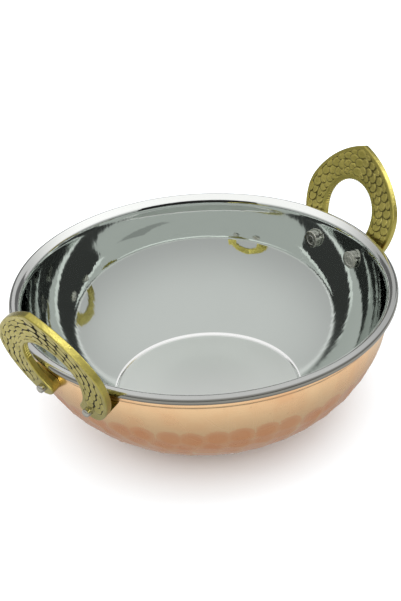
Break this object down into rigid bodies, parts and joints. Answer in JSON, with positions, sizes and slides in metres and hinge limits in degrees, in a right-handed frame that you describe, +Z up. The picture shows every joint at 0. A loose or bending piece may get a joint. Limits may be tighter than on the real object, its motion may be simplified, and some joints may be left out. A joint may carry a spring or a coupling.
{
  "type": "kadai",
  "caption": "Small round serving pan: mirror-polished steel bowl with a rolled rim in a hammered copper shell, and riveted cast brass loop handles with a scale pattern.",
  "frame": {"origin": "middle of the foot disc, on the table", "axes": "+Z up out of the bowl, +X towards the right handle, +Y towards the back"},
  "size_m": [0.1634, 0.14, 0.0768],
  "materials": {
    "polished_steel": "mirror polished",
    "hammered_copper": "hammered copper, satin",
    "cast_brass": "cast, polished on the high spots, dark in the grooves",
    "rivet_steel": "satin"
  },
  "bodies": {
    "root": {"steel_bowl": "polished_steel", "copper_shell": "hammered_copper", "right_handle": "cast_brass", "left_handle": "cast_brass", "right_front_rivet": "rivet_steel", "right_front_washer": "rivet_steel", "right_back_rivet": "rivet_steel", "right_back_washer": "rivet_steel", "left_front_rivet": "rivet_steel", "left_front_washer": "rivet_steel", "left_back_rivet": "rivet_steel", "left_back_washer": "rivet_steel"}
  },
  "joints": []
}
